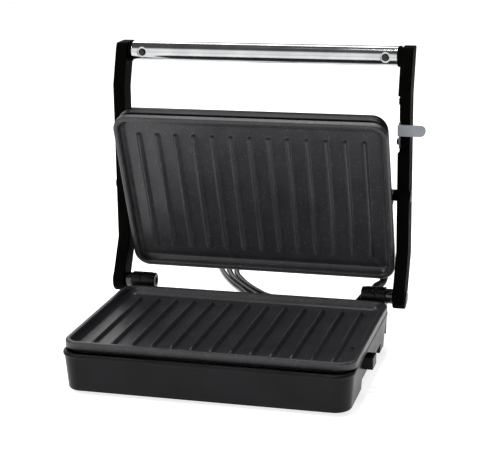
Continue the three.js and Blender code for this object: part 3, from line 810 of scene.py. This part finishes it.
# a web on the back wall beside the right hinge collar
def makeGusset():
    bm = bmesh.new()
    far = 96.7
    lipBack = 89.4
    corners = [(far - 9, 34.4), (far, 34.4), (far, hinge.z + 1.5)]
    drawnOut(bm, [(x, lipBack - 2.6, z) for x, z in corners], (0, 6, 0))
    rounded(bm, bm.edges[:], 0.4, 2)
    newPiece(bm, "hingeGusset", "black_shell", "base")


def makeSpout():
    low, high = nodeBox("grease_spout")
    wall = 2
    bm = bmesh.new()
    brick(bm, low, high, 0.6)
    made = newPiece(bm, "greaseSpout", "black_shell", "base", ["grease_spout"])

    def trough(bm):
        inner = (low.x + wall, low.y + wall, low.z + wall)
        brick(bm, inner, (high.x - wall, high.y - wall, high.z + 1))

    def mouth(bm):
        y = (low.y + high.y) / 2
        brick(bm, (baseShell["width"] / 2 + wall, y - 3, low.z - 1), (high.x - wall, y + 3, low.z + 3))

    carve(made, [cutterOf(trough), cutterOf(mouth)])


def makeFeet():
    for i in range(1, 5):
        low, high = nodeBox(f"foot_{i}")
        radius = (high.y - low.y) / 2
        tall = high.z - low.z
        centre = (low + high) / 2
        profile = [(0, 0.5), (radius - 3, 0.5), (radius - 2.4, 0), (radius - 0.9, 0)]
        profile += [(radius - 0.2, 0.5), (radius, 1.2), (radius, tall), (0, tall)]
        bm = bmesh.new()
        turned(bm, profile, (centre.x, centre.y, 0), (0, 0, 1), 40)
        newPiece(bm, f"foot_{i}_pad", "rubber", "base", [f"foot_{i}"])


makeBase()
makeGusset()
makeSpout()
makeFeet()
print("base made")

# upper housing
upperShell = {
    "width": 244.6,
    "depth": 162,
    "corner": 15,
    "bottom": upper["rimFace"] + 6.8 + 0.9,
    "height": 20.5,
    "round": 15,
    "wall": 2.5,
}


def makeUpperShell():
    s = upperShell
    top = s["bottom"] + s["height"]
    r = s["round"]
    crownSteps = 9
    quarter = [k * pi / 2 / crownSteps for k in range(crownSteps + 1)]
    outer = [(0, s["bottom"] + 0.5)]
    outer += [(0.95 * r * (1 - cos(a)), top - r + r * sin(a)) for a in quarter]
    w = s["wall"]
    inner = [(w + x, z - w if z > top - r else z) for x, z in outer[1:]]
    inner = [(w, s["bottom"])] + inner
    bm = bmesh.new()
    ringStack(
        bm,
        s["width"],
        s["depth"],
        s["corner"],
        inner[::-1] + [(0.5, s["bottom"])] + outer,
        steps=14,
        caps=True,
    )
    place = closedToOpen @ Matrix.Translation((0, upper["plateOffset"], 0))
    newPiece(bm, "upperShell", "black_shell", "upper", ["upper_housing"], place)
    # bosses in the end walls for the pivot studs
    bm = bmesh.new()
    for side in (-1, 1):
        start = (side * (s["width"] / 2 - 12), 0, 0)
        turned(bm, sleeveProfile(5.2, 3.3, 12, 0.3), start, (side, 0, 0), 40, True)
        far = sorted((start[0], side * s["width"] / 2))
        brick(bm, (far[0], -5.2, -12.3), (far[1], 5.2, -3.2), 0.2)
    newPiece(bm, "pivotBosses", "black_shell", "upper", place=closedToOpen)


makeUpperShell()
print("upper housing made")

# arms
arm = {
    "inner": 125.7,
    "thick": 10.9,
    "halfWidth": 9.5,
    "eye": 10.5,
    "edge": 1.0,
    # the arm's middle line: hinge, lower bend, upper bend, top
    "line": [(90, 44.5), (109.4, 80.5), (112, 223.5), (125.4, 262.3)],
}
armOuter = arm["inner"] + arm["thick"]


def mitred(line, distance):
    points = [Vector(p) for p in line]
    normals = []
    for a, b in zip(points, points[1:]):
        run = (b - a).normalized()
        normals.append(Vector((run.y, -run.x)))
    out = []
    for i, p in enumerate(points):
        a = normals[max(i - 1, 0)]
        b = normals[min(i, len(normals) - 1)]
        out.append(p + (a + b) * distance / (1 + a.dot(b)))
    return out


def armOutline():
    back = mitred(arm["line"], arm["halfWidth"])
    front = mitred(arm["line"], -arm["halfWidth"])
    topZ = arm["line"][-1][1]

    def levelled(line):
        a, b = line[-2:]
        line[-1] = a + (b - a) * (topZ - a.y) / (b.y - a.y)

    levelled(back)
    levelled(front)
    tip = front[-1]
    front[-1] = tip + Vector((-1.2, -4))
    front.append(tip + Vector((1.4, 0)))
    # round end at the hinge eye
    eye = Vector(arm["line"][0])
    along = (Vector(arm["line"][1]) - eye).normalized()
    across = Vector((along.y, -along.x))
    startAngle = sqrt(arm["eye"] ** 2 - arm["halfWidth"] ** 2) / arm["eye"]
    sweep = pi + 2 * startAngle
    steps = 20
    arc = []
    for k in range(steps + 1):
        a = startAngle - sweep * k / steps
        arc.append(eye + across * arm["eye"] * cos(a) + along * arm["eye"] * sin(a))
    return back[1:][::-1] + arc + front[1:]


lock = {"recess": (171.9, 222.4), "tooth": (215.4, 220.9), "tabHigh": 9.6}


def lockRecess(bm):
    front = nodeBox("lock_slider")[0].y + 0.3
    bottom, top = lock["recess"]
    brick(bm, (arm["inner"] - 1, front, bottom), (arm["inner"] + 2.6, front + 14.5, top))


def recessTooth(bm):
    front = nodeBox("lock_slider")[0].y + 4.3
    bottom, top = lock["tooth"]
    brick(bm, (arm["inner"] + 0.9, front - 6, bottom), (arm["inner"] + 4, front + 2, top))


def makeArm(name, side):
    bm = bmesh.new()
    x = side * arm["inner"]
    drawnOut(bm, [(x, y, z) for y, z in armOutline()], (side * arm["thick"], 0, 0))
    rims = [e for e in bm.edges if abs(e.verts[0].co.x - e.verts[1].co.x) < 0.01]
    rounded(bm, rims, arm["edge"], 3)
    made = newPiece(bm, f"arm_{name}_cast", "gloss_black", "arms", [f"arm_{name}"], bendAngle=0.29)
    if side > 0:
        recess = cutterOf(lockRecess)
        carve(recess, [cutterOf(recessTooth)])
        carve(made, [recess], bendAngle=0.29)


# a rod of radius 3 with a low domed cap, as wide and as domed as told
def cappedRod(cap, wide, dome):
    profile = [(0, 0), (3, 0), (3, cap), (wide - 0.3, cap), (wide, cap + 0.3)]
    return profile + [(wide - 0.2, cap + 0.8), (dome, cap + 1.15), (0, cap + 1.3)]


# a turned ring or rod lying across the press on one side
def sideTurned(name, slotName, body, node, start, profile, closed=False, look=None):
    bm = bmesh.new()
    turned(bm, profile, start, (copysign(1, start[0]), 0, 0), 48, closed)
    newPiece(bm, name, slotName, body, [node], look=look)


hingeSet = {
    "knuckle": (110.3, 119),
    "collar": (97, 110),
    "spacer": (119.3, 125.4),
    "shaft": 98,
    "radius": 8,
    "bore": 3.3,
    "spacerRadius": 6.7,
}


def makeHinge(name, side):
    h = hingeSet
    y, z = hinge.y, hinge.z
    near, far = h["collar"]
    length = far - near
    r = h["radius"]
    # the collar has a round nose, a neck and a raised band
    collar = [
        (h["bore"], 0),
        (r - 1.6, 0),
        (r - 0.7, 0.4),
        (r - 0.35, 1.2),
        (r - 0.35, 4.0),
        (r - 0.1, 4.2),
        (r, 4.5),
        (r, length - 0.5),
        (r - 0.3, length),
        (h["bore"], length),
    ]
    sideTurned(
        f"hingeCollar_{name}",
        "gloss_black",
        "arms",
        f"hinge_collar_{name}",
        (side * near, y, z),
        collar,
        closed=True,
        look="satinBlack",
    )
    near, far = h["spacer"]
    sideTurned(
        f"hingeSpacer_{name}",
        "gloss_black",
        "arms",
        f"hinge_spacer_{name}",
        (side * near, y, z),
        sleeveProfile(h["spacerRadius"], h["bore"], far - near, 0.5),
        closed=True,
        look="pianoBlack",
    )
    # knuckle on its foot down the back wall
    near, far = h["knuckle"]
    bm = bmesh.new()
    foot = [(89.7, z), (89.7, 10), (91.7, 8), (y + r, 28), (y + r, z)]
    drawnOut(bm, [(side * near, py, pz) for py, pz in foot], (side * (far - near), 0, 0))
    rounded(bm, bm.edges[:], 0.5, 2)
    knuckle = sleeveProfile(r, h["bore"], far - near, 0.5)
    turned(bm, knuckle, (side * near, y, z), (side, 0, 0), 48, True)
    bracket = f"hinge_bracket_{name}"
    newPiece(bm, f"hingeKnuckle_{name}", "gloss_black", "base", [bracket], look="satinBlack")
    # shaft with a domed cap outside the arm
    near = h["shaft"]
    shaft = cappedRod(armOuter + 0.3 - near, 5.7, 4.4)
    start = (side * near, y, z)
    sideTurned(f"hingeShaft_{name}", "dark_steel", "arms", f"hinge_shaft_{name}", start, shaft)


def makePivot(name, side):
    near = upperShell["width"] / 2 - 5
    stud = cappedRod(armOuter + 0.3 - near, 5.4, 4.2)
    start = (side * near, pivot.y, pivot.z)
    sideTurned(f"pivotStud_{name}", "dark_steel", "upper", f"pivot_stud_{name}", start, stud)
    near = upperShell["width"] / 2 + 0.3
    bush = sleeveProfile(5.2, 3.3, arm["inner"] - 0.3 - near, 0.3)
    start = (side * near, pivot.y, pivot.z)
    sideTurned(
        f"pivotBush_{name}", "gloss_black", "upper", f"pivot_bush_{name}", start, bush, closed=True
    )


handle = {"radius": 8.85, "wall": 1, "y": 124, "z": 254, "screwInset": 13.7}


def makeHandle():
    h = handle
    low, high = nodeBox("handle_tube")
    profile = sleeveProfile(h["radius"], h["radius"] - h["wall"], high.x - low.x, 0.3)
    bm = bmesh.new()
    turned(bm, profile, (low.x, h["y"], h["z"]), (1, 0, 0), 96, True)
    tube = newPiece(bm, "handleTube", "chrome", "arms", ["handle_tube"])
    seats = []
    for name, side in (("left", -1), ("right", 1)):
        x = side * (arm["inner"] - h["screwInset"])
        front = h["y"] - h["radius"]

        def seat(bm):
            turned(bm, [(0, -6), (4.7, -6), (4.7, 5), (0, 5)], (x, front, h["z"]), (0, 1, 0), 40)

        seats.append(cutterOf(seat))
        # dished rim round the screw
        bm = bmesh.new()
        dish = [(4.9, 1.2), (4.4, 1.0), (3.4, 1.15), (3.2, 1.5), (3.2, 2.4), (3.6, 2.6), (4.9, 1.8)]
        turned(bm, dish, (x, front, h["z"]), (0, 1, 0), 40, True)
        newPiece(bm, f"screwSeat_{name}", "chrome", "arms")
        low, high = nodeBox(f"handle_screw_{name}")
        bm = bmesh.new()
        head = (high.x - low.x) / 2
        profile = [(0, 0.9), (0.7, 0.9), (0.9, 0.1), (head - 0.7, 0), (head - 0.2, 0.3), (head, 0.8)]
        profile += [(head, 1.6), (1.5, 1.6), (1.5, high.y - low.y), (0, high.y - low.y)]
        turned(bm, profile, (x, low.y, h["z"]), (0, 1, 0), 32)
        newPiece(bm, f"handleScrew_{name}", "dark_steel", "arms", [f"handle_screw_{name}"])
        low, high = nodeBox(f"handle_collar_{name}")
        collar = sleeveProfile(h["radius"] + 0.5, h["radius"] - h["wall"], high.x - low.x, 0.5)
        near = arm["inner"] - 0.3 - (high.x - low.x)
        sideTurned(
            f"handleCollar_{name}",
            "gloss_black",
            "arms",
            f"handle_collar_{name}",
            (side * near, h["y"], h["z"]),
            collar,
            closed=True,
        )
    carve(tube, seats)


for end, way in (("left", -1), ("right", 1)):
    makeArm(end, way)
    makeHinge(end, way)
    makePivot(end, way)
makeHandle()
print("arms and handle made")


# lock slide
def makeLock():
    low, high = nodeBox("lock_slider")
    screwLow, screwHigh = nodeBox("lock_screw")
    front = low.y
    tabHigh = lock["tabHigh"]
    topOfTab = high.z - 1
    tabZ = topOfTab - tabHigh / 2
    bm = bmesh.new()
    brick(bm, (low.x, front, tabZ - tabHigh / 2), (high.x, front + 4, topOfTab))
    tips = [e for e in bm.edges if all(abs(v.co.x - high.x) < 0.01 for v in e.verts)]
    ends = [e for e in tips if abs(e.verts[0].co.y - e.verts[1].co.y) > 1]
    rounded(bm, ends, tabHigh / 2 - 0.4, 8)
    rounded(bm, [e for e in bm.edges if e.calc_face_angle(0) > 1.2], 0.5, 2)
    brick(bm, (low.x, front + 3.5, tabZ - tabHigh / 2), (low.x + 1.6, high.y, topOfTab), 0.2)
    brick(bm, (low.x, front + 6.8, low.z), (low.x + 1.6, high.y, high.z), 0.2)
    newPiece(bm, "lockLever", "grey_lever", "lock", ["lock_slider"])
    bm = bmesh.new()
    start = (screwLow.x, (screwLow.y + screwHigh.y) / 2, (screwLow.z + screwHigh.z) / 2)
    r = (screwHigh.z - screwLow.z) / 2
    profile = [(0, 0.6), (0.8, 0.6), (1.0, 0), (r - 0.6, 0), (r, 0.6)]
    profile += [(r, 1.5), (1, 1.5), (1, 3.2), (0, 3.2)]
    turned(bm, profile, start, (1, 0, 0), 32)
    newPiece(bm, "lockScrew", "dark_steel", "lock", ["lock_screw"])


makeLock()


# wiring sleeve, laid as one fixed bend from the hinge collar to the back wall of the tilted upper housing
sleeve = {"radius": 3.4, "x": 108, "angle": 0.15, "height": -10.5}


def makeSleeve():
    x = sleeve["x"]
    angle = sleeve["angle"]
    backWall = upper["plateOffset"] + upperShell["depth"] / 2

    def onCollar(away):
        r = hingeSet["radius"] + away
        return Vector((x - 1.5, hinge.y + r * cos(angle), hinge.z + r * sin(angle)))

    def onWall(out):
        return closedToOpen @ Vector((x + 3, backWall + out, sleeve["height"]))

    data = bpy.data.curves.new("wiringPath", "CURVE")
    data.dimensions = "3D"
    data.bevel_depth = sleeve["radius"]
    data.bevel_resolution = 6
    data.resolution_u = 10
    data.use_fill_caps = True
    line = data.splines.new("BEZIER")
    points = [onCollar(0.2), onCollar(8), onWall(7), onWall(-0.5)]
    line.bezier_points.add(len(points) - 1)
    for knot, point in zip(line.bezier_points, points):
        knot.co = point
        knot.handle_left_type = "AUTO"
        knot.handle_right_type = "AUTO"
    path = bpy.data.objects.new("wiringPath", data)
    bpy.context.scene.collection.objects.link(path)
    bpy.context.view_layer.update()
    evaluated = path.evaluated_get(bpy.context.evaluated_depsgraph_get())
    tube = bpy.data.meshes.new_from_object(evaluated)
    bm = bmesh.new()
    bm.from_mesh(tube)
    bpy.data.objects.remove(path)
    bpy.data.meshes.remove(tube)
    made = newPiece(bm, "wiringSleeve", "rubber", None, ["wiring_sleeve"])
    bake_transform(made)


makeSleeve()
print("lock and sleeve made")

# floor, light and room
studio = {
    "floor": 0.9,
    "glow": 0.86,
    "towardsLight": (-0.42, -0.9, 0.1),
    "dim": 0.1,
    "bright": 1.4,
    "edge": (0.8, 0.95),
}


def makeStudio():
    bm = bmesh.new()
    bmesh.ops.create_grid(bm, x_segments=1, y_segments=1, size=6)
    mesh = bpy.data.meshes.new("floor")
    bm.to_mesh(mesh)
    bm.free()
    floor = bpy.data.objects.new("floor", mesh)
    bpy.context.scene.collection.objects.link(floor)
    g = Graph("paleFloor")
    pale = (studio["floor"],) * 3 + (1,)
    mesh.materials.append(
        g.finish(color=pale, roughness=0.9, specular=0.1, emission=pale, glow=studio["glow"])
    )

    def softbox(name, place, aim, size, power, depth=None):
        data = bpy.data.lights.new(name, "AREA")
        data.shape = "RECTANGLE"
        data.size = size
        data.size_y = depth or size
        data.energy = power
        made = bpy.data.objects.new(name, data)
        away = Vector(place) - Vector(aim)
        made.matrix_world = Matrix.Translation(place) @ away.to_track_quat("Z", "Y").to_matrix().to_4x4()
        bpy.context.scene.collection.objects.link(made)

    softbox("keyLight", (-1.2, -0.7, 1.4), (0, 0, 0.1), 0.22, 10)
    softbox("backLight", (0, 1.3, 1.7), (0, 0.1, 0.2), 1.8, 17, 0.6)
    softbox("sideLight", (-0.75, 1.1, 0.5), (-0.1, 0, 0.05), 0.7, 1.9)
    softbox("topLight", (0, -0.2, 2.2), (0, 0, 0), 0.25, 15)
    # a wide soft glow in front of and above the press, and a dim room elsewhere
    world = bpy.data.worlds.new("room")
    bpy.context.scene.world = world
    world.use_nodes = True
    tree = world.node_tree
    direction = tree.nodes.new("ShaderNodeTexCoord")
    towards = tree.nodes.new("ShaderNodeVectorMath")
    towards.operation = "DOT_PRODUCT"
    towards.inputs[1].default_value = studio["towardsLight"]
    glow = tree.nodes.new("ShaderNodeMapRange")
    glow.interpolation_type = "SMOOTHSTEP"
    settings = zip((*studio["edge"], studio["dim"], studio["bright"]), range(1, 5))
    for value, index in settings:
        glow.inputs[index].default_value = value
    shade = tree.nodes["Background"]
    shade.inputs["Color"].default_value = (1, 1, 1, 1)
    tree.links.new(direction.outputs["Generated"], towards.inputs[0])
    tree.links.new(towards.outputs["Value"], glow.inputs["Value"])
    tree.links.new(glow.outputs["Result"], shade.inputs["Strength"])
    bpy.context.scene.view_settings.view_transform = "Standard"


makeStudio()

print("press made")
